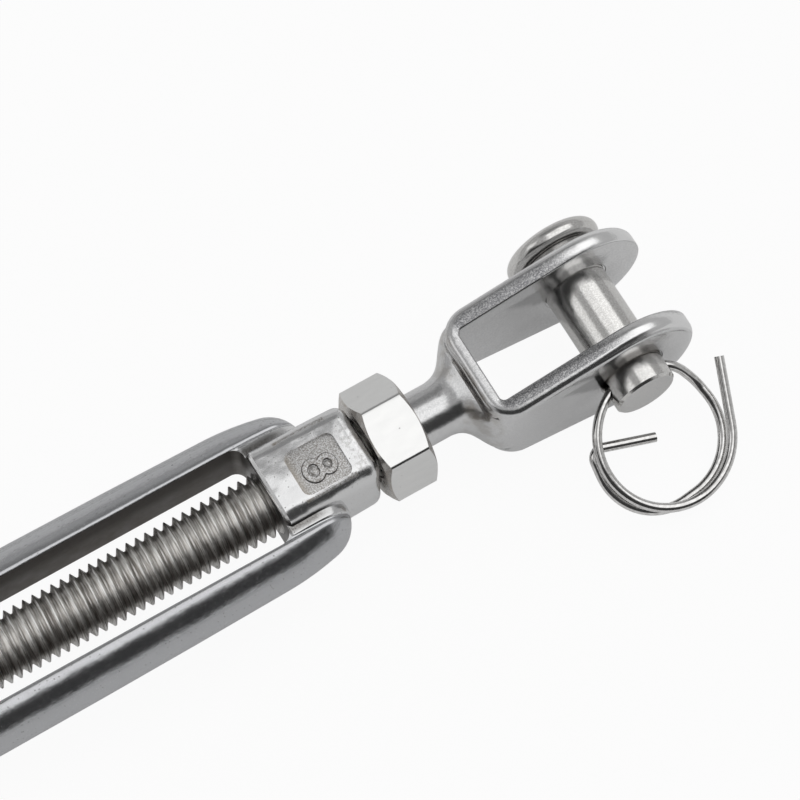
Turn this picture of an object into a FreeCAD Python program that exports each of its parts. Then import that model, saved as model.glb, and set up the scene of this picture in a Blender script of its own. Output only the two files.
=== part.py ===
# Open-body turnbuckle for a sailing shroud, thread size M8, with a fork jaw at each end.
# Millimetres and degrees. X runs along the rods, Z is up, and the origin is the middle of
# the body on the thread axis. Both ends carry the same parts: each is modelled at the +X
# end, and its twin is that part after half a turn about Z.
import FreeCAD, Part
import math
import os

Vector = FreeCAD.Vector
xAxis = Vector(1, 0, 0)
yAxis = Vector(0, 1, 0)
zAxis = Vector(0, 0, 1)
origin = Vector(0, 0, 0)

# Thread, the same at both ends apart from its hand
thread_diameter = 8.0
thread_pitch = 1.25
thread_clearance = 0.05

# Body: two bosses joined by two rails
body_length = 120.0
body_width = 22.0
rail_bow = 0.5
window_width = 13.3
window_corner_radius = 1.5
rail_height = 7.8
rail_rounding = 3.8
boss_length = 12.9
boss_width = 10.8
boss_end_width = 10.3
boss_height = 11.4
boss_crown = 0.2
boss_edge_radius = 2.0
boss_end_radius = 1.5
boss_lip_chamfer = 0.5
shoulder_start = 16.0
shoulder_run = 7.3
shoulder_large_radius = 36.0
shoulder_small_radius = 4.6

# Pocket for the size number, on top of the boss at the +X end
pocket_length = 6.5
pocket_width = 6.0
pocket_depth = 0.4
pocket_corner_radius = 1.0
pocket_shift_x = 0.25
pocket_shift_y = -0.7

# Lock nut, against the end of the body
nut_across_flats = 12.8
nut_corner_radius = 0.6
nut_thickness = 6.4
nut_gap = 0.3
nut_chamfer_angle = 30.0
nut_face_inset = 0.26
nut_turn = -12.0

# Jaw: threaded rod, plain shank, neck and fork
rod_tip_spacing = 8.0
thread_end_inset = 0.5
shank_diameter = 7.0
shank_length = 3.6
flare_length = 8.0
flare_middle = 3.2
flare_spread = 0.78
flare_corner_pull = 3.5
flare_steps = 12
flare_side_inset = 0.05
flare_top_inset = 0.4
base_spacing = 3.9
base_height = 12.0
base_thickness = 1.9
base_corner_radius = 3.8
floor_corner_radius = 0.7
jaw_gap = 10.4
ear_thickness = 2.5
pin_reach = 16.5
eye_radius = 8.9
rim_radius = 1.1
inner_rim_radius = 0.2

# Clevis pin, with its head on the +Y side of the right jaw
pin_diameter = 7.9
pin_clearance = 0.1
pin_mouth_chamfer = 0.3
pin_tip_reach = 3.3
pin_tip_chamfer = 0.3
pin_head_diameter = 12.4
pin_head_thickness = 2.7
pin_end_float = 1.5
pin_head_rounding = 1.25
pin_head_dome = 0.15
pin_turn = 5.0
ring_hole_diameter = 2.5
ring_hole_offset = 0.7

# Split ring: one round turn, then a second that springs clear of it and ends in a hook
wire_diameter = 1.2
ring_radius = 8.5
ring_droop = 25.0
first_turn_shift = 0.15
strand_clearance = 0.08
second_turn_radius = 7.85
step_run = 2.12
step_radius = 4.85
crossing_run = 1.8
hook_side_radius = 7.1
hook_run = 3.3
hook_radius = 1.3
hook_turn = 103.5
outer_tail_length = 8.2
inner_tail_length = 8.4

# Places that follow from the driving dimensions
thread_radius = thread_diameter / 2
tapped_radius = thread_radius + thread_clearance
thread_depth = 0.6134 * thread_pitch
body_end = body_length / 2
boss_inner = body_end - boss_length
nut_inner = body_end + nut_gap
nut_outer = nut_inner + nut_thickness
neck_start = nut_outer + shank_length
base_back = neck_start + base_spacing
jaw_floor = base_back + base_thickness
pin_x = jaw_floor + pin_reach
ear_inner = jaw_gap / 2
ear_outer = ear_inner + ear_thickness
pin_radius = pin_diameter / 2
pin_hole_radius = pin_radius + pin_clearance
ring_hole_y = -(ear_outer + ring_hole_offset)


def face_of(edges):
    return Part.Face(Part.Wire(edges))


def outline(points):
    """Straight edges through the points and back to the first."""
    closed = points + [points[0]]
    return [Part.LineSegment(a, b).toShape() for a, b in zip(closed, closed[1:])]


def arc(start, middle, end):
    return Part.Arc(start, middle, end).toShape()


def line(start, end):
    return Part.LineSegment(start, end).toShape()


def prism(face, direction, depth):
    """Extrude a face by depth, half to each side of its own plane."""
    solid = face.extrude(direction * depth)
    solid.translate(direction * (-depth / 2))
    return solid


def rounded_box(length, width, depth, corner):
    """Box about the origin whose four upright edges are rounded."""
    box = Part.makeBox(length, width, depth, Vector(-length / 2, -width / 2, -depth / 2))
    upright = edges_where(box, lambda e: abs(e.tangentAt(e.FirstParameter).z) > 0.99)
    return box.makeFillet(corner, upright)


def edges_where(shape, test):
    return [edge for edge in shape.Edges if test(edge)]


def spans(edge):
    return edge.BoundBox


def flat_in_x(edge, x):
    return abs(spans(edge).XMin - x) < 0.001 and abs(spans(edge).XMax - x) < 0.001


def turned_half(shape):
    twin = shape.copy()
    twin.rotate(origin, zAxis, 180)
    return twin


def joined(first, others):
    return first.fuse(others).removeSplitter()


def frame_outline():
    """Plan of the rails and shoulders, closed across inside the bosses."""
    half = body_width / 2
    start = Vector(body_end - shoulder_start, half - rail_bow, 0)
    bow_radius = (start.x ** 2 + rail_bow ** 2) / (2 * rail_bow)
    bow_turn = math.asin(start.x / bow_radius)
    run_turn = math.asin(math.sin(bow_turn) + shoulder_run / shoulder_large_radius)

    def outward(angle):
        return Vector(math.sin(angle), math.cos(angle), 0)

    large_centre = start - outward(bow_turn) * shoulder_large_radius
    along_large = large_centre + outward((bow_turn + run_turn) / 2) * shoulder_large_radius
    bend = large_centre + outward(run_turn) * shoulder_large_radius
    small_centre = bend - outward(run_turn) * shoulder_small_radius
    along_small = small_centre + outward((run_turn + math.pi / 2) / 2) * shoulder_small_radius
    corner = small_centre + outward(math.pi / 2) * shoulder_small_radius
    quarter = [start, along_large, bend, along_small, corner]
    edges = []
    for x_sign, y_sign in ((1, 1), (1, -1), (-1, -1), (-1, 1)):
        first, second, third, fourth, fifth = [Vector(p.x * x_sign, p.y * y_sign, 0) for p in quarter]
        edges.append(arc(first, second, third))
        edges.append(arc(third, fourth, fifth))
    for sign in (1, -1):
        edges.append(arc(Vector(-start.x, sign * start.y, 0), Vector(0, sign * half, 0),
                         Vector(start.x, sign * start.y, 0)))
        edges.append(line(Vector(sign * corner.x, -corner.y, 0), Vector(sign * corner.x, corner.y, 0)))
    return face_of(Part.__sortEdges__(edges))


def body_frame():
    """Rails and shoulders: a plate with rounded outer edges and a window."""
    plate = prism(frame_outline(), zAxis, rail_height)
    outer = edges_where(plate, lambda e: spans(e).ZLength < 0.001 and spans(e).XLength > 0.001)
    plate = plate.makeFillet(rail_rounding, outer)
    window = rounded_box(2 * boss_inner, window_width, boss_height, window_corner_radius)
    return plate.cut(window)


def boss():
    """Block at the +X end, slightly crowned on top and below."""
    half = boss_height / 2
    edge = half - boss_crown
    middle = (boss_inner + body_end) / 2
    side = face_of([
        line(Vector(boss_inner, 0, -edge), Vector(boss_inner, 0, edge)),
        arc(Vector(boss_inner, 0, edge), Vector(middle, 0, half), Vector(body_end, 0, edge)),
        line(Vector(body_end, 0, edge), Vector(body_end, 0, -edge)),
        arc(Vector(body_end, 0, -edge), Vector(middle, 0, -half), Vector(boss_inner, 0, -edge)),
    ])
    plan = face_of(outline([
        Vector(boss_inner, boss_width / 2, 0),
        Vector(body_end, boss_end_width / 2, 0),
        Vector(body_end, -boss_end_width / 2, 0),
        Vector(boss_inner, -boss_width / 2, 0),
    ]))
    block = prism(side, yAxis, boss_width).common(prism(plan, zAxis, boss_height))
    block = block.makeFillet(boss_edge_radius, edges_where(block, lambda e: spans(e).XLength > 0.001))
    block = block.makeFillet(boss_end_radius, edges_where(block, lambda e: flat_in_x(e, body_end)))
    lip = edges_where(block, lambda e: flat_in_x(e, boss_inner) and abs(spans(e).ZLength) < 0.001)
    return block.makeChamfer(boss_lip_chamfer, lip)


def number_pocket():
    pocket = rounded_box(pocket_length, pocket_width, 2 * pocket_depth, pocket_corner_radius)
    pocket.translate(Vector((boss_inner + body_end) / 2 + pocket_shift_x, pocket_shift_y, boss_height / 2))
    return pocket


def turnbuckle_body():
    right_boss = boss()
    shape = joined(body_frame(), [right_boss, turned_half(right_boss)])
    bore = Part.makeCylinder(tapped_radius, body_length + 2, Vector(-body_end - 1, 0, 0), xAxis)
    return shape.cut(bore).cut(number_pocket())


def lock_nut():
    """Hexagon nut, both ends chamfered, with countersunk mouths."""
    corner = nut_across_flats / 2 / math.cos(math.pi / 6)
    hexagon = [Vector(0, corner * math.sin(math.radians(60 * k)), corner * math.cos(math.radians(60 * k)))
               for k in range(6)]
    block = face_of(outline(hexagon)).extrude(xAxis * nut_thickness)
    block = block.makeFillet(nut_corner_radius, edges_where(block, lambda e: spans(e).XLength > 0.001))
    flat_radius = nut_across_flats / 2 - nut_face_inset
    reach = corner + nut_corner_radius
    drop = (reach - flat_radius) * math.tan(math.radians(nut_chamfer_angle))
    turned = face_of(outline([
        Vector(0, 0, 0),
        Vector(0, 0, flat_radius),
        Vector(drop, 0, reach),
        Vector(nut_thickness - drop, 0, reach),
        Vector(nut_thickness, 0, flat_radius),
        Vector(nut_thickness, 0, 0),
    ])).revolve(origin, xAxis, 360)
    nut = block.common(turned)
    nut = nut.cut(Part.makeCylinder(tapped_radius, nut_thickness, origin, xAxis))
    mouths = edges_where(nut, lambda e: isinstance(e.Curve, Part.Circle)
                         and abs(e.Curve.Radius - tapped_radius) < 0.001)
    nut = nut.makeChamfer(thread_depth / 2, mouths)
    nut.rotate(origin, xAxis, nut_turn)
    nut.translate(Vector(nut_inner, 0, 0))
    return nut


def rod():
    """Threaded rod, plain at the thread's outer diameter, and the shank between thread and neck."""
    tip = rod_tip_spacing / 2
    thread_end = nut_outer - thread_end_inset
    shank = shank_diameter / 2
    return face_of(outline([
        Vector(tip, 0, 0),
        Vector(tip, 0, thread_radius - thread_depth),
        Vector(tip + thread_depth, 0, thread_radius),
        Vector(thread_end - (thread_radius - shank), 0, thread_radius),
        Vector(thread_end, 0, shank),
        Vector(neck_start, 0, shank),
        Vector(neck_start, 0, 0),
    ])).revolve(origin, xAxis, 360)


def flare_share(run):
    """How far the neck has gone from shank to fork, from 0 to 1, at a distance along it."""
    def slow_step(x):
        return 1 / (1 + math.exp((flare_middle - x) / flare_spread))

    return (slow_step(run) - slow_step(0)) / (slow_step(flare_length) - slow_step(0))


def flare_section(x, half_width, half_height, pull):
    """Loop of four arcs across the rod. The more pull, the squarer it is; the root of a half is round."""
    around = [(1, 0), (1, 1), (0, 1), (-1, 1), (-1, 0), (-1, -1), (0, -1), (1, -1), (1, 0)]
    points = [Vector(x, half_width * y, half_height * z) for y, z in around]
    arcs = []
    for k in range(0, 8, 2):
        quarter = Part.BezierCurve()
        quarter.setPoles(points[k:k + 3])
        quarter.setWeight(2, pull)
        arcs.append(quarter.toShape())
    return Part.Wire(arcs)


def neck():
    """Flare from the round shank into the back of the fork, which is wider than it is high."""
    shank = shank_diameter / 2
    round_pull = math.sqrt(0.5)
    sections = []
    for k in range(flare_steps + 1):
        run = flare_length * k / flare_steps
        share = flare_share(run)
        sections.append(flare_section(
            neck_start + run,
            shank + share * (ear_outer - flare_side_inset - shank),
            shank + share * (base_height / 2 - flare_top_inset - shank),
            round_pull + share * (flare_corner_pull - round_pull)))
    return Part.makeLoft(sections, True)


def jaw_side():
    """Side view of the fork: a cheek that widens from its base into the round eye."""
    half = base_height / 2
    run = pin_x - base_back
    reach = math.hypot(run, half)
    lean = math.asin(eye_radius / reach) - math.atan2(half, run)
    back = Vector(neck_start, 0, half - base_spacing * math.tan(lean))
    touch = Vector(pin_x - eye_radius * math.sin(lean), 0, eye_radius * math.cos(lean))
    back_below = Vector(back.x, 0, -back.z)
    touch_below = Vector(touch.x, 0, -touch.z)
    eye_tip = Vector(pin_x + eye_radius, 0, 0)
    return face_of([
        line(back_below, back),
        line(back, touch),
        arc(touch, eye_tip, touch_below),
        line(touch_below, back_below),
    ])


def slab(start, width, corner):
    """Upright slab from the plane x = start past the tip of the eyes, back corners rounded."""
    length = 2 * (pin_x + eye_radius - start)
    shape = rounded_box(length, width, 4 * eye_radius, corner)
    shape.translate(Vector(start + length / 2, 0, 0))
    return shape


def fork_block():
    """Outside of the fork, before its gap is cut, with its rim rounded."""
    block = slab(base_back, 2 * ear_outer, base_corner_radius)
    block = block.common(prism(jaw_side(), yAxis, 2 * ear_outer))

    def on_rim(edge):
        box = spans(edge)
        upright = box.XLength < 0.001 and box.YLength < 0.001
        right_across = box.YLength > 2 * ear_outer - 0.001
        return not upright and not right_across

    return block.makeFillet(rim_radius, edges_where(block, on_rim))


def on_gap_edge(edge):
    """True for the rim of the gap: its straight cheeks, eye arcs, floor and floor corners."""
    middle = edge.valueAt((edge.FirstParameter + edge.LastParameter) / 2)
    inside = abs(middle.y) < ear_inner + 0.001 and middle.x > jaw_floor - 0.001
    upright = spans(edge).XLength < 0.001 and spans(edge).YLength < 0.001
    at_corner = spans(edge).ZLength > base_height / 2 and spans(edge).XLength < 0.001
    return inside and not upright and not at_corner


def jaw():
    shape = joined(rod(), [neck(), fork_block()])
    shape = shape.cut(slab(jaw_floor, jaw_gap, floor_corner_radius))
    shape = shape.makeFillet(inner_rim_radius, edges_where(shape, on_gap_edge))
    hole = Part.makeCylinder(pin_hole_radius, 4 * ear_outer, Vector(pin_x, -2 * ear_outer, 0), yAxis)
    shape = shape.cut(hole)
    mouths = edges_where(shape, lambda e: isinstance(e.Curve, Part.Circle)
                         and abs(e.Curve.Radius - pin_hole_radius) < 0.001)
    return shape.makeChamfer(pin_mouth_chamfer, mouths)


def turned_pin():
    """Round body of the pin about Y, head uppermost, with its seam clear of the ring hole."""
    seat = ear_outer + pin_end_float
    top = seat + pin_head_thickness
    rim = pin_head_diameter / 2
    edge = top - pin_head_dome
    flat = rim - pin_head_rounding
    slant = pin_head_rounding * (1 - math.sqrt(0.5))
    tip = -(ear_outer + pin_tip_reach)
    dome_radius = (flat ** 2 + pin_head_dome ** 2) / (2 * pin_head_dome)
    half_turn = math.asin(flat / dome_radius) / 2

    def at(radius, y):
        return Vector(0, y, radius)

    profile = [
        line(at(0, tip), at(pin_radius - pin_tip_chamfer, tip)),
        line(at(pin_radius - pin_tip_chamfer, tip), at(pin_radius, tip + pin_tip_chamfer)),
        line(at(pin_radius, tip + pin_tip_chamfer), at(pin_radius, seat)),
        line(at(pin_radius, seat), at(flat, seat)),
        arc(at(flat, seat), at(rim - slant, seat + slant), at(rim, seat + pin_head_rounding)),
        line(at(rim, seat + pin_head_rounding), at(rim, edge - pin_head_rounding)),
        arc(at(rim, edge - pin_head_rounding), at(rim - slant, edge - slant), at(flat, edge)),
        arc(at(flat, edge),
            at(dome_radius * math.sin(half_turn), top - dome_radius * (1 - math.cos(half_turn))),
            at(0, top)),
        line(at(0, top), at(0, tip)),
    ]
    return face_of(profile).revolve(origin, yAxis, 360)


def set_in_jaw(shape):
    """Turn a part that was made about the pin's own axis, and carry it to the jaw."""
    shape.rotate(origin, yAxis, pin_turn)
    shape.translate(Vector(pin_x, 0, 0))
    return shape


def clevis_pin():
    start = Vector(-pin_diameter, ring_hole_y, 0)
    hole = Part.makeCylinder(ring_hole_diameter / 2, 2 * pin_diameter, start, xAxis)
    return set_in_jaw(turned_pin().cut(hole))


def bent_wire(points, radii):
    """Edges from the first point to the last, with an arc of the given radius at each bend."""
    edges = []
    here = points[0]
    for before, corner, after, radius in zip(points, points[1:], points[2:], radii):
        inward = (before - corner).normalize()
        onward = (after - corner).normalize()
        half_turn = (math.pi - inward.getAngle(onward)) / 2
        reach = radius * math.tan(half_turn)
        start = corner + inward * reach
        end = corner + onward * reach
        to_centre = (inward + onward).normalize()
        middle = corner + to_centre * (radius / math.cos(half_turn) - radius)
        edges.append(line(here, start))
        edges.append(arc(start, middle, end))
        here = end
    edges.append(line(here, points[-1]))
    return edges


def ring_path():
    """Centre line of the wire, laid flat and upside down: x along the hole, y away from the pin.

    Angles run from the hole towards the second turn, so the first turn has negative ones.
    """
    drop = Vector(0, 0, wire_diameter + strand_clearance)
    slack = first_turn_shift + pin_radius
    sag = ring_radius - math.sqrt(ring_radius ** 2 - slack ** 2)
    first_centre = Vector(first_turn_shift, ring_radius - sag / 2, 0)
    second_centre = Vector(0, first_centre.y, 0) + drop

    def point(centre, radius, degrees):
        angle = math.radians(degrees)
        return centre + Vector(math.sin(angle), -math.cos(angle), 0) * radius

    def heading(degrees):
        angle = math.radians(degrees)
        return Vector(math.cos(angle), math.sin(angle), 0)

    def turn_about(centre, radius, start, end):
        return arc(point(centre, radius, start), point(centre, radius, (start + end) / 2),
                   point(centre, radius, end))

    tail_angle = -254
    leave_angle = 20
    join_angle = 75
    cross_angle = 172
    hook_angle = 272
    first_start = point(first_centre, ring_radius, tail_angle)
    first_end = point(first_centre, ring_radius, leave_angle)
    second_start = point(second_centre, second_turn_radius, join_angle)
    second_end = point(second_centre, second_turn_radius, cross_angle)
    third_start = second_end + heading(cross_angle) * crossing_run
    third_centre = third_start - (second_end - second_centre) * (hook_side_radius / second_turn_radius)
    third_end = point(third_centre, hook_side_radius, hook_angle)
    hook_corner = third_end + heading(hook_angle) * hook_run
    edges = [line(first_start - heading(tail_angle) * outer_tail_length, first_start)]
    edges.append(turn_about(first_centre, ring_radius, tail_angle, leave_angle))
    edges += bent_wire([
        first_end,
        first_end + heading(leave_angle) * step_run,
        second_start - heading(join_angle) * step_run,
        second_start,
    ], [step_radius, step_radius])
    edges.append(turn_about(second_centre, second_turn_radius, join_angle, cross_angle))
    edges.append(line(second_end, third_start))
    edges.append(turn_about(third_centre, hook_side_radius, cross_angle, hook_angle))
    edges += bent_wire([
        third_end,
        hook_corner,
        hook_corner + heading(hook_angle + hook_turn) * inner_tail_length,
    ], [hook_radius])
    return edges


def split_ring():
    path = Part.Wire(ring_path())
    start = path.Edges[0].Vertexes[0].Point
    heading = path.Edges[0].tangentAt(path.Edges[0].FirstParameter)
    section = Part.Wire(Part.makeCircle(wire_diameter / 2, start, heading))
    ring = path.makePipeShell([section], True, False)
    ring.rotate(origin, xAxis, 180 + ring_droop)
    ring.translate(Vector(0, ring_hole_y, 0))
    return set_in_jaw(ring)


def write_step(name, shape):
    shape.exportStep(os.path.join("parts", name + ".step"))
    print(name, "valid", shape.isValid(), "solids", len(shape.Solids), "volume", round(shape.Volume, 2))


os.makedirs("parts", exist_ok=True)
write_step("turnbuckle_body", turnbuckle_body())
end_parts = {"jaw": jaw(), "lock_nut": lock_nut(), "clevis_pin": clevis_pin(), "split_ring": split_ring()}
for name, shape in end_parts.items():
    write_step(name + "_right", shape)
    write_step(name + "_left", turned_half(shape))
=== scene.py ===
# Open-body turnbuckle with fork jaws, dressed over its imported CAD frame
import math
import bmesh
import bpy
import numpy as np
from mathutils import Matrix, Vector


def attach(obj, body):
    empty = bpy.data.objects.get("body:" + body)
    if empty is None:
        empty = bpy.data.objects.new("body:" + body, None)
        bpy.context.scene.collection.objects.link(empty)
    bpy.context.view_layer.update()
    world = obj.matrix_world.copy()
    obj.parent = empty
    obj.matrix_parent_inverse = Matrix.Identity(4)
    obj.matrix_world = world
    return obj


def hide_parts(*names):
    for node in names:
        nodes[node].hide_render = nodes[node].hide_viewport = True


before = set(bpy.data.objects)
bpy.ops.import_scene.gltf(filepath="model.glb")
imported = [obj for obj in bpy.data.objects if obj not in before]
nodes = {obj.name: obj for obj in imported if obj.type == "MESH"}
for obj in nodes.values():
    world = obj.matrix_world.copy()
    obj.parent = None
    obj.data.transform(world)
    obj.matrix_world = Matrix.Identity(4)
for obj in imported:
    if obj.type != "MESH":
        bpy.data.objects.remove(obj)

scene = bpy.context.scene
mm = 0.001
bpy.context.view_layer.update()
print("loaded", len(nodes), "CAD nodes")


# a value on its way through a material, which takes part in Python arithmetic
class Signal:
    def __init__(self, finish, socket):
        self.finish = finish
        self.socket = socket

    def out(self, name):  # another output of the same node
        return Signal(self.finish, self.socket.node.outputs[name])

    def math(self, operation, *values):
        return self.finish.node("ShaderNodeMath", {"operation": operation}, dict(enumerate(values)))

    def __add__(self, other): return self.math("ADD", self, other)
    def __radd__(self, other): return self.math("ADD", other, self)
    def __sub__(self, other): return self.math("SUBTRACT", self, other)
    def __rsub__(self, other): return self.math("SUBTRACT", other, self)
    def __mul__(self, other): return self.math("MULTIPLY", self, other)
    def __rmul__(self, other): return self.math("MULTIPLY", other, self)
    def __truediv__(self, other): return self.math("DIVIDE", self, other)
    def __pow__(self, other): return self.math("POWER", self, other)
    def __abs__(self): return self.math("ABSOLUTE", self)

    def above(self, least):
        return self.math("MAXIMUM", self, least)

    def below(self, most):
        return self.math("MINIMUM", self, most)

    def between(self, low, high):  # 0 at low, 1 at high, smooth in between
        values = {"Value": self, "From Min": low, "From Max": high}
        return self.finish.node("ShaderNodeMapRange", {"interpolation_type": "SMOOTHSTEP"}, values)


# the nodes of one material, or of the world
class Finish:
    def __init__(self, name, look, block=None):
        self.look = look
        self.block = block or bpy.data.materials.new(name)
        self.block.use_nodes = True
        self.tree = self.block.node_tree
        self.tree.nodes.clear()

    def feed(self, socket, value):
        if isinstance(value, Signal):
            self.tree.links.new(value.socket, socket)
        elif socket.type == "RGBA" and len(value) == 3:
            socket.default_value = (*value, 1)
        else:
            socket.default_value = value

    def node(self, kind, settings=None, values=None, output=0):
        made = self.tree.nodes.new(kind)
        for name, value in (settings or {}).items():
            setattr(made, name, value)
        for name, value in (values or {}).items():
            self.feed(made.inputs[name], value)
        return Signal(self, made.outputs[output]) if made.outputs else None

    def place(self):  # position in the row frame, in millimetres
        coords = self.node("ShaderNodeTexCoord").out("Object")
        values = {"Vector": coords, "Scale": 1000.0}
        return self.node("ShaderNodeVectorMath", {"operation": "SCALE"}, values)

    def facing(self):  # the surface's normal in the row frame
        return self.node("ShaderNodeTexCoord").out("Normal")

    def dot(self, first, second):
        values = {0: first, 1: tuple(second)}
        return self.node("ShaderNodeVectorMath", {"operation": "DOT_PRODUCT"}, values, 1)

    def axes(self, vector):
        split = self.node("ShaderNodeSeparateXYZ", None, {"Vector": vector})
        return split, split.out("Y"), split.out("Z")

    def stretch(self, vector, along):
        return self.node("ShaderNodeVectorMath", {"operation": "MULTIPLY"}, {0: vector, 1: along})

    def grain(self, where, size, detail, rough=0.55):  # noise with blotches of that size in millimetres
        values = {"Vector": where, "Scale": 1 / size, "Detail": detail, "Roughness": rough}
        return self.node("ShaderNodeTexNoise", None, values)

    def pits(self, where, size, low, high):  # 1 in small scattered pits, 0 elsewhere
        near = self.node("ShaderNodeTexVoronoi", {"feature": "F1"}, {"Vector": where, "Scale": 1 / size})
        return 1 - near.between(low, high)

    def mask(self, value, zone):  # 1 inside the look's zone, 0 outside it
        return value.between(*self.look["zones"][zone])

    def blend(self, share, first, second):
        return self.node("ShaderNodeMix", {"data_type": "RGBA"}, {0: share, 6: first, 7: second}, 2)

    def paint(self, under, mask, name):  # one of the look's tints, laid over what is under it
        share, tint = self.look["tints"][name]
        return self.blend(mask * share, under, tint)

    def bump(self, height, depth, normal=None):  # depth in millimetres
        values = {"Height": height, "Distance": depth * mm, "Strength": 1.0}
        if normal:
            values["Normal"] = normal
        return self.node("ShaderNodeBump", None, values)

    def metal(self, colour, roughness, normal):
        values = {"Base Color": colour, "Roughness": roughness, "Metallic": 1.0, "Normal": normal}
        shader = self.node("ShaderNodeBsdfPrincipled", None, values)
        self.node("ShaderNodeOutputMaterial", None, {"Surface": shader})
        return self.block


# camera: its axes and place in the row frame, found by fitting the thread and the jaw
camera = {
    "right": (0.86259, -0.50559, -0.01800),
    "up": (0.47494, 0.79700, 0.37313),
    "back": (-0.17430, -0.33040, 0.92761),
    "lookAt": (44.0, 0.0, 0.0),
    "aside": 18.24, "above": 13.63, "away": 476.19,  # millimetres from lookAt
    "lens": 182.68, "sensor": 36.0,
    "nearest": 0.01, "farthest": 20.0,  # metres
}

def makeCamera(spec):
    right, up, back = (Vector(spec[name]).normalized() for name in ("right", "up", "back"))
    spot = Vector(spec["lookAt"]) + right * spec["aside"] + up * spec["above"] + back * spec["away"]
    data = bpy.data.cameras.new("photoCamera")
    data.lens = spec["lens"]
    data.sensor_width = spec["sensor"]
    data.clip_start = spec["nearest"]
    data.clip_end = spec["farthest"]
    photoCamera = bpy.data.objects.new("photoCamera", data)
    turn = Matrix((right, up, back)).transposed().to_4x4()
    photoCamera.matrix_world = Matrix.Translation(spot * mm) @ turn
    scene.collection.objects.link(photoCamera)
    scene.camera = photoCamera

makeCamera(camera)
print("camera set")


# studio: a white table in a pale tent, with soft boxes overhead and flags around
studio = {
    "tableTop": -8.95,  # millimetres, just under the jaws
    "tableSize": 3.0,  # metres
    "tableColour": (0.90, 0.90, 0.90),
    "glow": 0.94,  # how far the table shines by itself where the camera sees it
    "shine": 0.25,  # the same where the steel mirrors it
    "tent": 0.46,  # brightness of the bare tent
    "sideFade": 0.1,  # keeps each panel on its own side of the tent
    "flags": [  # angles in degrees
        {"azimuth": -113, "elevation": 30, "width": 50, "height": 27, "soft": 9, "light": 0.05},
        {"azimuth": 80, "elevation": 44, "width": 22, "height": 14, "soft": 8, "light": 0.26},
        {"azimuth": 154, "elevation": 39, "width": 12, "height": 13, "soft": 6, "light": 1.05},
    ],
    "boxes": [  # from and to along X and Y for one unit of height
        {"x": (-0.12, 1.40), "y": (-0.62, 0.40), "soft": 0.10, "light": 1.30},
        {"x": (0.34, 1.40), "y": (0.35, 0.66), "soft": 0.10, "light": 1.35},
        {"x": (0.02, 0.36), "y": (-0.10, 0.24), "soft": 0.20, "light": 1.10},
    ],
}

def makeTable(spec):
    half = spec["tableSize"] / 2
    mesh = bpy.data.meshes.new("table")
    corners = [(-half, -half, 0), (half, -half, 0), (half, half, 0), (-half, half, 0)]
    mesh.from_pydata(corners, [], [(0, 1, 2, 3)])
    table = bpy.data.objects.new("table", mesh)
    table.location.z = spec["tableTop"] * mm
    scene.collection.objects.link(table)
    finish = Finish("white table", spec)
    rays = finish.node("ShaderNodeLightPath")
    seen = rays.above(rays.out("Is Transmission Ray")) * spec["glow"]
    seen = seen.above(rays.out("Is Glossy Ray") * spec["shine"])
    matt = finish.node("ShaderNodeBsdfDiffuse", None, {"Color": spec["tableColour"]})
    glow = finish.node("ShaderNodeEmission", None, {"Color": (1, 1, 1), "Strength": 1.0})
    mixed = finish.node("ShaderNodeMixShader", None, {0: seen, 1: matt, 2: glow})
    finish.node("ShaderNodeOutputMaterial", None, {"Surface": mixed})
    mesh.materials.append(finish.block)

def flagMask(tent, towards, flag, sideFade):  # a rectangle of the tent, by angles seen from the part
    turn, lift = math.radians(flag["azimuth"]), math.radians(flag["elevation"])
    level = math.cos(lift)
    middle = Vector((level * math.cos(turn), level * math.sin(turn), math.sin(lift)))
    side = Vector((-math.sin(turn), math.cos(turn), 0))
    ahead, aside, above = (tent.dot(towards, axis) for axis in (middle, side, middle.cross(side)))
    mask = ahead.between(0.0, sideFade)
    for offset, reach in ((aside, flag["width"]), (above, flag["height"])):
        outer, inner = (math.sin(math.radians(reach + way * flag["soft"] / 2)) for way in (1, -1))
        mask = mask * abs(offset).between(outer, inner)
    return mask

def boxMask(tent, towards, box, sideFade):  # a rectangle of a ceiling one unit above the part
    x, y, z = tent.axes(towards)
    mask = z.between(0.0, sideFade)
    half = box["soft"] / 2
    for value, (low, high) in ((x / z, box["x"]), (y / z, box["y"])):
        mask = mask * value.between(low - half, low + half) * value.between(high + half, high - half)
    return mask

def makeTent(spec):
    world = bpy.data.worlds.new("tent")
    scene.world = world
    tent = Finish("tent", spec, world)
    towards = tent.node("ShaderNodeTexCoord")
    light = spec["tent"]
    for panels, maskOf in ((spec["flags"], flagMask), (spec["boxes"], boxMask)):
        for panel in panels:
            mask = maskOf(tent, towards, panel, spec["sideFade"])
            light = light * (1 - mask) + mask * panel["light"]
    shader = tent.node("ShaderNodeBackground", None, {"Color": (1, 1, 1), "Strength": light})
    tent.node("ShaderNodeOutputWorld", None, {"Surface": shader})

makeTable(studio)
makeTent(studio)
scene.view_settings.view_transform = "Standard"
print("studio set")


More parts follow.
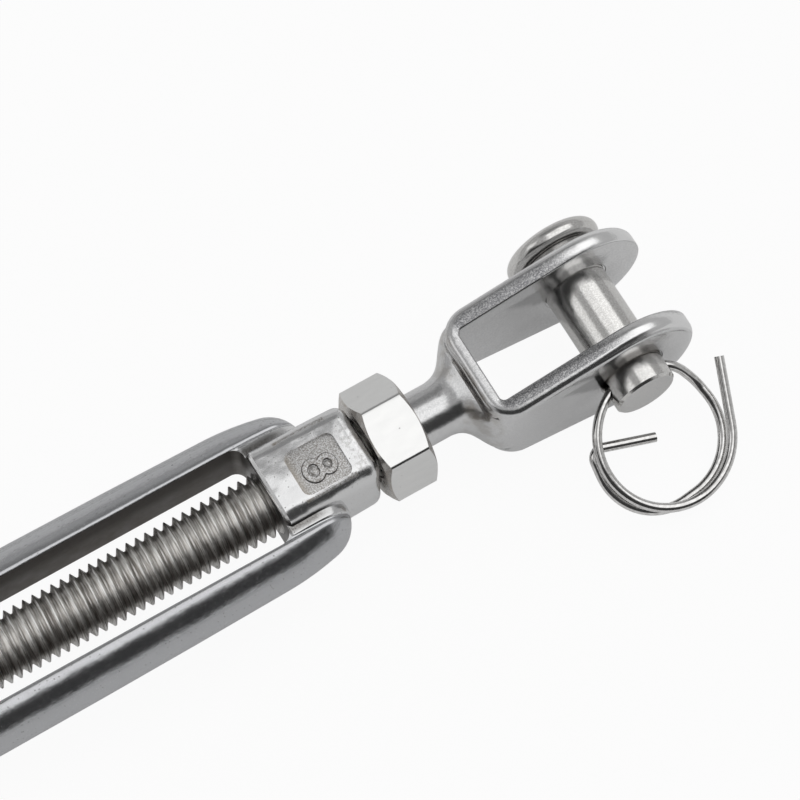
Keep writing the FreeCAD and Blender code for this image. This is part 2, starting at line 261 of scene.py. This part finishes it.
# looks of the steel, with lengths in millimetres
castLook = {
    "steel": ((0.60, 0.605, 0.615), (0.69, 0.695, 0.70)),
    "tints": {  # share, colour
        # painted sheen: the boss is painted lighter than the bare steel
        "boss": (0.7, (0.75, 0.75, 0.75)),
        "worn": (1.0, (0.33, 0.31, 0.29)),
        "pocketEnd": (0.7, (0.40, 0.36, 0.31)),
        "rail": (0.75, (0.47, 0.475, 0.49)),
        # painted glints: light specks in the rails' small pits
        "glintPits": (0.8, (0.92, 0.92, 0.92)),
        # painted shade on the steep walls in the pocket and at the number's strokes
        "pocketWallShade": (0.8, (0.15, 0.14, 0.13)),
        # painted highlight on the rounded top edge at the boss's inner end
        "lipHighlight": (1.0, (0.94, 0.94, 0.94)),
        # painted shade low on the boss's sides, in the crevice where it meets the rails
        "junctionShade": (1.0, (0.15, 0.14, 0.13)),
        # painted shade: the window's walls are painted dark
        "window": (1.0, (0.15, 0.135, 0.12)),
        # painted shade, deeper towards the top of the window's walls
        "windowTopShade": (0.6, (0.07, 0.06, 0.05)),
        "dots": (0.8, (0.14, 0.13, 0.12)),
    },
    "wave": (2.6, 2.0), "sand": (0.16, 4.0, 0.7),  # blotch size, detail, roughness
    "scuffs": (0.7, 2.0), "swell": (4.0, 1.0),
    "ripple": (0.9, 3.0), "rippleStretch": (0.35, 1.0, 1.0),
    "dots": (0.62, 0.06, 0.14), "glintPits": (0.34, 0.05, 0.13),  # spacing, and shares of it
    "zones": {  # where the mask is 0, where it is 1
        "steel": (0.42, 0.62), "darkGrains": (0.56, 0.44), "scuffs": (0.42, 0.6),
        "faceUp": (0.2, 0.5), "faceUpright": (0.5, 0.2), "faceSideways": (0.6, 0.9),
        "bossLength": (46.9, 47.3), "bossWidth": (6.5, 6.2), "rail": (6.3, 6.7),
        "windowWall": (7.0, 6.75), "windowLength": (47.6, 46.8), "windowTopShade": (-0.6, 2.0),
        "pocketDepth": (5.59, 5.53), "pocketStart": (50.3, 50.5), "pocketStop": (57.3, 57.1),
        "pocketWidth": (4.4, 4.2), "pocketEnd": (51.6, 50.6), "pocketWallShade": (0.93, 0.7),
        "scuffStart": (57.3, 57.6), "scuffStop": (59.4, 58.6),
        "scuffNear": (-4.6, -3.6), "scuffFar": (2.6, 1.4),
        "lipLength": (47.9, 47.6), "lipTilt": (0.97, 0.9),
        "junctionShadeWidth": (0.9, 0.1), "junctionShadeStart": (46.4, 47.4), "junctionShadeStop": (54.0, 50.0),
        "junctionShadeHeight": (4.8, 4.0),
    },
    "scuffShare": 0.5, "junctionShadeMiddle": 5.55, "junctionShadePower": 1.3, "windowPower": 1.05, "windowWave": 0.4,
    "rough": {"least": 0.17, "wave": 0.06, "sand": 0.06, "worn": 0.24, "window": 0.25, "railSide": 0.12},
    "bossEdge": 6.2, "bossRise": 0.015,  # the boss is crowned
    "innerEdge": 7.05, "innerReach": 0.45, "innerDrop": 0.9,  # and the rails are rounded
    "outerEdge": 7.1, "outerEase": 0.25, "outerDrop": 0.25,
    "swellDepth": 0.25, "waveDepth": 0.09, "rippleShare": 0.12,
    "sandDepth": 0.012, "sandLeast": 0.5, "sandOnRail": 0.4, "sparkDepth": 0.5,
}

def castFinish(look):
    f = Finish("polished cast steel", look)
    spot = f.place()
    x, y, z = f.axes(spot)
    _, ny, nz = f.axes(f.facing())
    length, width = abs(x), abs(y)
    wave = f.grain(spot, *look["wave"])
    ripple = f.grain(f.stretch(spot, look["rippleStretch"]), *look["ripple"])
    sand = f.grain(spot, *look["sand"])
    dots = f.pits(spot, *look["dots"])
    glintPits = f.pits(spot, *look["glintPits"])

    up = f.mask(nz, "faceUp")
    boss = f.mask(length, "bossLength") * f.mask(width, "bossWidth")
    rail = f.mask(width, "rail")
    railSide = rail * f.mask(abs(ny), "faceSideways")
    window = f.mask(width, "windowWall") * f.mask(length, "windowLength")
    window = window * f.mask(abs(nz), "faceUpright")
    pocket = up * f.mask(z, "pocketDepth") * f.mask(x, "pocketStart") * f.mask(x, "pocketStop")
    pocket = pocket * f.mask(width, "pocketWidth")
    beside = up * boss * f.mask(x, "scuffStart") * f.mask(x, "scuffStop")
    beside = beside * f.mask(y, "scuffNear") * f.mask(y, "scuffFar")
    scuffs = beside * f.mask(f.grain(spot, *look["scuffs"]), "scuffs") * look["scuffShare"]
    worn = pocket.above(scuffs)
    lipHighlight = up * boss * f.mask(length, "lipLength") * f.mask(nz, "lipTilt")
    # painted shade low on the boss's sides, where it meets the rails
    junctionShade = f.mask(abs(width - look["junctionShadeMiddle"]), "junctionShadeWidth") * f.mask(abs(z), "junctionShadeHeight")
    junctionShade = junctionShade * f.mask(length, "junctionShadeStart") * f.mask(length, "junctionShadeStop")

    colour = f.blend(f.mask(sand, "steel"), *look["steel"])
    # painted sheen: the boss painted lighter than the bare steel
    colour = f.paint(colour, boss, "boss")
    colour = f.paint(colour, worn * f.mask(sand, "darkGrains"), "worn")
    colour = f.paint(colour, pocket * f.mask(x, "pocketEnd"), "pocketEnd")
    colour = f.paint(colour, rail, "rail")
    # painted glints: the rails' small pits painted light
    colour = f.paint(colour, rail * glintPits, "glintPits")
    # painted shade on the steep walls in the pocket and at the number's strokes
    colour = f.paint(colour, pocket * f.mask(nz, "pocketWallShade"), "pocketWallShade")
    # painted highlight on the rounded top edge at the boss's inner end
    colour = f.paint(colour, lipHighlight, "lipHighlight")
    # painted shade in the crevice between the boss and the rails
    colour = f.paint(colour, junctionShade * (look["junctionShadePower"] - sand), "junctionShade")
    # painted shade on the window's walls, wavering with the wave noise
    colour = f.paint(colour, window * (look["windowPower"] - wave * look["windowWave"]), "window")
    # painted shade, deeper towards the top of the window's walls
    colour = f.paint(colour, window * f.mask(z, "windowTopShade"), "windowTopShade")
    colour = f.paint(colour, dots, "dots")

    rough = look["rough"]
    roughness = rough["least"] + wave * rough["wave"] + sand * rough["sand"] + worn * rough["worn"]
    roughness = roughness + window * rough["window"] + railSide * rough["railSide"]

    middle = (look["bossEdge"] - width).above(0.0)
    inner = (look["innerEdge"] - width).above(0.0).below(look["innerReach"])
    outer = (width - look["outerEdge"]).above(0.0)
    crown = middle * (2 * look["bossEdge"] - middle) * look["bossRise"]
    crown = crown - inner * inner * look["innerDrop"]
    crown = crown - outer * outer / (outer + look["outerEase"]) * look["outerDrop"]
    swell = f.grain(spot, *look["swell"]) * boss * look["swellDepth"]
    normal = f.bump(crown + swell, 1.0)
    normal = f.bump(wave + ripple * look["rippleShare"], look["waveDepth"], normal)
    fine = sand * (look["sandLeast"] + worn + rail * look["sandOnRail"])
    fine = fine - dots - glintPits * rail * look["sparkDepth"]
    return f.metal(colour, roughness, f.bump(fine, look["sandDepth"], normal))

nutLook = {
    "steel": ((0.68, 0.68, 0.675), (0.78, 0.78, 0.77)),
    # painted reflection: the nut's chamfers are painted a dark brownish grey
    "tints": {"chamfer": (1.0, (0.34, 0.30, 0.26)), "dots": (0.6, (0.2, 0.2, 0.2))},
    "smear": (1.6, 3.0), "smearStretch": (0.6, 2.0, 2.0), "dots": (1.3, 0.03, 0.07),
    "zones": {"chamfer": (0.15, 0.4)}, "chamferPower": 1.1,
    "rough": {"least": 0.11, "smear": 0.08, "chamfer": 0.12}, "depth": 0.015,
}

def nutFinish(look):
    f = Finish("polished nut steel", look)
    spot = f.place()
    nx, _, _ = f.axes(f.facing())
    smear = f.grain(f.stretch(spot, look["smearStretch"]), *look["smear"])
    dots = f.pits(spot, *look["dots"])
    chamfer = f.mask(abs(nx), "chamfer")
    colour = f.blend(smear, *look["steel"])
    # painted reflection: the chamfers painted a dark brownish grey
    colour = f.paint(colour, chamfer * (look["chamferPower"] - smear), "chamfer")
    colour = f.paint(colour, dots, "dots")
    rough = look["rough"]
    roughness = rough["least"] + smear * rough["smear"] + chamfer * rough["chamfer"]
    return f.metal(colour, roughness, f.bump(smear - dots, look["depth"]))

forkLook = {
    "steel": ((0.60, 0.60, 0.605), (0.72, 0.72, 0.72)),
    "tints": {
        # painted highlight: the eye rims are painted lighter
        "eye": (0.8, (0.82, 0.82, 0.82)),
        # dark speckles on the straps' flat tops: partly their forged grain, partly painted shade
        "strap": (1.0, (0.20, 0.20, 0.21)),
        # painted shade in patches on the neck's sloping faces
        "crease": (0.4, (0.36, 0.33, 0.29)),
    },
    "sand": (0.16, 4.0, 0.7), "wave": (2.0, 2.0),
    "zones": {
        "steel": (0.40, 0.64), "speckle": (0.68, 0.40), "neckShadePatches": (0.4, 0.65),
        "strapFlat": (0.955, 0.985), "strapStart": (75.6, 76.4), "strapStop": (94.0, 88.0),
        "eyeStart": (86.0, 92.0), "eyeTurned": (0.9, 0.7),
        "baseWidth": (6.2, 4.6), "baseTurned": (0.95, 0.8),
        "neck": (75.6, 74.6), "creaseTilt": (0.25, 0.65),
    },
    "rough": {"least": 0.15, "wave": 0.06, "sand": 0.06, "strap": 0.14},
    "strapMiddle": 6.45, "eyeDrop": 0.12,  # the eye rims are rounded
    "baseMiddle": 75.15, "baseReach": 1.3, "baseDrop": 0.16,  # and so is the fork's base
    "waveDepth": 0.05, "sandDepth": 0.007,
}

def forkFinish(look):
    f = Finish("satin fork steel", look)
    spot = f.place()
    x, y, _ = f.axes(spot)
    nx, ny, nz = f.axes(f.facing())
    length, width = abs(x), abs(y)
    sand = f.grain(spot, *look["sand"])
    wave = f.grain(spot, *look["wave"])

    strap = f.mask(abs(nz), "strapFlat") * f.mask(length, "strapStart") * f.mask(length, "strapStop")
    eye = f.mask(length, "eyeStart") * f.mask(abs(ny), "eyeTurned")
    base = f.mask(width, "baseWidth") * f.mask(abs(nx), "baseTurned")
    crease = f.mask(length, "neck") * f.mask(abs(nx), "creaseTilt")

    colour = f.blend(f.mask(sand, "steel"), *look["steel"])
    colour = f.paint(colour, eye, "eye")
    # painted highlight: the eye rims painted lighter
    colour = f.paint(colour, strap * f.mask(sand, "speckle"), "strap")
    # the straps' flat tops: partly forged grain, partly painted shade
    colour = f.paint(colour, crease * f.mask(wave, "neckShadePatches"), "crease")
    # painted shade in patches on the neck's sloping faces

    rough = look["rough"]
    roughness = rough["least"] + wave * rough["wave"] + sand * rough["sand"] + strap * rough["strap"]

    across = width - look["strapMiddle"]
    along = (length - look["baseMiddle"]).above(-look["baseReach"]).below(look["baseReach"])
    rounding = eye * across * across * -look["eyeDrop"] - base * along * along * look["baseDrop"]
    normal = f.bump(sand, look["sandDepth"], f.bump(rounding, 1.0))
    return f.metal(colour, roughness, f.bump(wave, look["waveDepth"], normal))

pinLook = {
    "steel": ((0.60, 0.59, 0.575), (0.74, 0.735, 0.72)),
    "tints": {
        "turned": (0.4, (0.30, 0.28, 0.26)),
        "face": (1.0, (0.48, 0.48, 0.485)),
        # painted shade on the pin's barrel inside the ears
        "earShade": (0.7, (0.22, 0.20, 0.18)),
    },
    "sand": (0.18, 4.0, 0.7), "wave": (1.8, 2.0),
    "turned": (1.0, 3.0), "turnedStretch": (0.3, 9.0, 0.3),
    "zones": {
        "steel": (0.40, 0.62), "speckle": (0.40, 0.64), "turned": (0.62, 0.75),
        "face": (0.95, 0.99), "barrel": (0.5, 0.2), "earShade": (1.9, 0.7),
    },
    "hiddenMiddle": 6.9,  # inside the ears
    "rough": {"least": 0.11, "wave": 0.05, "sand": 0.05},
    "waveDepth": 0.02, "sandDepth": 0.004,
}

def pinFinish(look):
    f = Finish("polished pin steel", look)
    spot = f.place()
    _, y, _ = f.axes(spot)
    _, ny, _ = f.axes(f.facing())
    sand = f.grain(spot, *look["sand"])
    wave = f.grain(spot, *look["wave"])
    turned = f.grain(f.stretch(spot, look["turnedStretch"]), *look["turned"])
    face = f.mask(abs(ny), "face")
    earShade = f.mask(abs(abs(y) - look["hiddenMiddle"]), "earShade") * f.mask(abs(ny), "barrel")
    colour = f.blend(f.mask(sand, "steel"), *look["steel"])
    colour = f.paint(colour, f.mask(turned, "turned"), "turned")
    colour = f.paint(colour, face * f.mask(sand, "speckle"), "face")
    # painted shade on the pin's barrel inside the ears
    colour = f.paint(colour, earShade, "earShade")
    rough = look["rough"]
    roughness = rough["least"] + wave * rough["wave"] + sand * rough["sand"]
    normal = f.bump(wave, look["waveDepth"], f.bump(sand, look["sandDepth"]))
    return f.metal(colour, roughness, normal)

wireLook = {
    "steel": ((0.62, 0.61, 0.60), (0.78, 0.775, 0.765)),
    "drawn": (0.5, 3.0), "zones": {"steel": (0.35, 0.65)},
    "rough": {"least": 0.09, "drawn": 0.06}, "depth": 0.004,
}

def wireFinish(look):
    f = Finish("bright spring wire", look)
    drawn = f.grain(f.place(), *look["drawn"])
    colour = f.blend(f.mask(drawn, "steel"), *look["steel"])
    roughness = look["rough"]["least"] + drawn * look["rough"]["drawn"]
    return f.metal(colour, roughness, f.bump(drawn, look["depth"]))

threadLook = {
    "steel": ((0.40, 0.38, 0.36), (0.93, 0.92, 0.90)),
    # painted shade darkening the thread's roots
    "tints": {"root": (0.5, (0.30, 0.28, 0.26))},
    "rings": (1.0, 3.0, 0.75), "ringsStretch": (5.0, 0.2, 0.2), "wave": (2.0, 2.0),
    "zones": {"steel": (0.38, 0.55), "root": (3.5, 3.2)},
    "rough": {"least": 0.34, "wave": 0.08}, "depth": 0.03,
}

def threadFinish(look):
    f = Finish("rolled thread steel", look)
    spot = f.place()
    _, y, z = f.axes(spot)
    rings = f.grain(f.stretch(spot, look["ringsStretch"]), *look["rings"])
    wave = f.grain(spot, *look["wave"])
    radius = (y * y + z * z) ** 0.5
    colour = f.blend(f.mask(rings, "steel"), *look["steel"])
    # painted shade darkening the thread's roots
    colour = f.paint(colour, f.mask(radius, "root"), "root")
    roughness = look["rough"]["least"] + wave * look["rough"]["wave"]
    return f.metal(colour, roughness, f.bump(rings, look["depth"]))

castSteel = castFinish(castLook)
nutSteel = nutFinish(nutLook)
forkSteel = forkFinish(forkLook)
pinSteel = pinFinish(pinLook)
wireSteel = wireFinish(wireLook)
threadSteel = threadFinish(threadLook)
print("finishes mixed")


# dressed CAD nodes
dressed = {
    "turnbuckle_body": castSteel,
    "lock_nut_right": nutSteel, "lock_nut_left": nutSteel,
    "clevis_pin_right": pinSteel, "clevis_pin_left": pinSteel,
    "split_ring_right": wireSteel, "split_ring_left": wireSteel,
}
for name, finish in dressed.items():
    for place in nodes[name].material_slots:
        place.material = finish
print("CAD nodes dressed")


# steps that the new pieces share
cutTolerance = 1e-7  # metres

def cutEnd(shape, x, keepAbove):
    everything = shape.verts[:] + shape.edges[:] + shape.faces[:]
    bmesh.ops.bisect_plane(shape, geom=everything, dist=cutTolerance, plane_co=(x, 0, 0),
                           plane_no=(1, 0, 0), clear_inner=keepAbove, clear_outer=not keepAbove)
    closeRim(shape)

def closeRim(shape):
    rim = [edge for edge in shape.edges if edge.is_boundary]
    bmesh.ops.contextual_create(shape, geom=rim)

def finishMesh(shape, name, finish, body, crease):
    mesh = bpy.data.meshes.new(name)
    shape.to_mesh(mesh)
    shape.free()
    mesh.shade_smooth()
    mesh.set_sharp_from_angle(angle=math.radians(crease))
    mesh.materials.clear()
    mesh.materials.append(finish)
    piece = bpy.data.objects.new(name, mesh)
    scene.collection.objects.link(piece)
    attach(piece, body)
    return piece


# threaded rods, left-hand at the right end and right-hand at the left end
rod = {
    "pitch": 1.25, "tip": 4.0, "root": 66.2, "tipRadius": 3.1,
    "profile": [  # share of a pitch, radius
        (0.0, 3.93), (0.02, 3.95), (0.105, 3.95), (0.125, 3.93), (0.30, 3.56),
        (0.47, 3.20), (0.50, 3.18), (0.625, 3.18), (0.655, 3.20), (0.83, 3.56),
    ],
    "ends": {"right": (1, -1), "left": (-1, 1)},  # direction along X, hand
    "steps": 72, "spareTurns": 2, "crease": 40,  # spare turns at each end are cut away
}

def makeRod(spec, side):
    direction, hand = spec["ends"][side]
    pitch, steps, profile = spec["pitch"], spec["steps"], spec["profile"]
    start, end = sorted((direction * spec["tip"], direction * spec["root"]))
    turns = math.ceil((end - start) / pitch) + 2 * spec["spareTurns"]
    rows = turns * len(profile)
    shape = bmesh.new()
    grid = []
    for row in range(rows):
        share, radius = profile[row % len(profile)]
        x = start - spec["spareTurns"] * pitch + (row // len(profile) + share) * pitch
        line = []
        for step in range(steps):
            angle = math.tau * step / steps
            along = x + hand * pitch * step / steps
            fromTip = abs(along) - spec["tip"]
            reach = min(radius, spec["tipRadius"] + max(fromTip, 0.0))
            spot = (along, reach * math.cos(angle), reach * math.sin(angle))
            line.append(shape.verts.new([value * mm for value in spot]))
        grid.append(line)
    for row in range(rows - 1):
        for step in range(steps):
            over = 0 if step < steps - 1 else hand * len(profile)
            if 0 <= row + over < rows - 1:
                far = (step + 1) % steps
                here, there = grid[row:row + 2], grid[row + over:row + over + 2]
                shape.faces.new((here[0][step], here[1][step], there[1][far], there[0][far]))
    shape.normal_update()
    cutEnd(shape, start * mm, True)
    cutEnd(shape, end * mm, False)
    loose = [vert for vert in shape.verts if not vert.link_faces]
    bmesh.ops.delete(shape, geom=loose, context="VERTS")
    bmesh.ops.recalc_face_normals(shape, faces=shape.faces)
    finishMesh(shape, "threaded_rod_" + side, threadSteel, "jaw_" + side, spec["crease"])


# forks: the CAD jaw from its neck on, with the rod's plain stand-in cut away where the thread ends
fork = {"weld": 2e-6, "crease": 32}  # metres, degrees

def makeFork(spec, side):
    direction = rod["ends"][side][0]
    shape = bmesh.new()
    shape.from_mesh(nodes["jaw_" + side].data)
    bmesh.ops.remove_doubles(shape, verts=shape.verts, dist=spec["weld"])
    cutEnd(shape, direction * rod["root"] * mm, direction > 0)
    piece = finishMesh(shape, "fork_" + side, forkSteel, "jaw_" + side, spec["crease"])
    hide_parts("jaw_" + side)

for side in ("right", "left"):
    makeRod(rod, side)
    makeFork(fork, side)
print("rods and forks made")


# the raised size number on the pocket's floor
number = {
    "loops": ((52.98, -1.09, 1.02), (54.80, -1.10, 0.86)),  # x, y, radius of each loop's middle line
    "widened": 0.86,  # loops reach further across than along, by one over this
    "stroke": 0.80, "raised": 0.20, "slope": 0.16,
    "floor": 5.3, "foot": 4.9, "sunk": 0.15,  # around the strokes the piece stays under the floor
    "eyeGap": 0.02, "eyeRise": 0.16, "eyeSunk": 0.02,  # the loops' middles bulge a little
    "box": (51.0, 56.6, -2.9, 0.7), "cell": 0.045, "crease": 60,
}

def makeNumber(spec):
    x0, x1, y0, y1 = spec["box"]
    xs = np.arange(x0, x1, spec["cell"])
    ys = np.arange(y0, y1, spec["cell"])
    px, py = np.meshgrid(xs, ys, indexing="ij")
    half, floor = spec["stroke"] / 2, spec["floor"]
    apart = np.full(px.shape, np.inf)
    dome = np.zeros(px.shape)
    for cx, cy, radius in spec["loops"]:
        away = np.hypot(px - cx, (py - cy) * spec["widened"])
        apart = np.minimum(apart, abs(away - radius) - half)
        dome = np.maximum(dome, 1 - (away / (radius - half - spec["eyeGap"])) ** 2)
    rise = np.clip(-apart / spec["slope"], 0, 1)
    top = np.where(apart < 0, floor + spec["raised"] * rise * (2 - rise), floor - spec["sunk"])
    top = np.maximum(top, np.where(dome > 0, floor - spec["eyeSunk"] + spec["eyeRise"] * dome, 0))
    shape = bmesh.new()
    upper = [[shape.verts.new((x * mm, y * mm, top[i, j] * mm)) for j, y in enumerate(ys)]
             for i, x in enumerate(xs)]
    for near, far in zip(upper, upper[1:]):
        for j in range(len(ys) - 1):
            shape.faces.new((near[j], far[j], far[j + 1], near[j + 1]))
    rim = [edge for edge in shape.edges if edge.is_boundary]
    made = bmesh.ops.extrude_edge_only(shape, edges=rim)["geom"]
    for vert in (thing for thing in made if isinstance(thing, bmesh.types.BMVert)):
        vert.co.z = spec["foot"] * mm
    closeRim(shape)
    bmesh.ops.recalc_face_normals(shape, faces=shape.faces)
    finishMesh(shape, "size_number", castSteel, "body", spec["crease"])

makeNumber(number)
print("number raised")
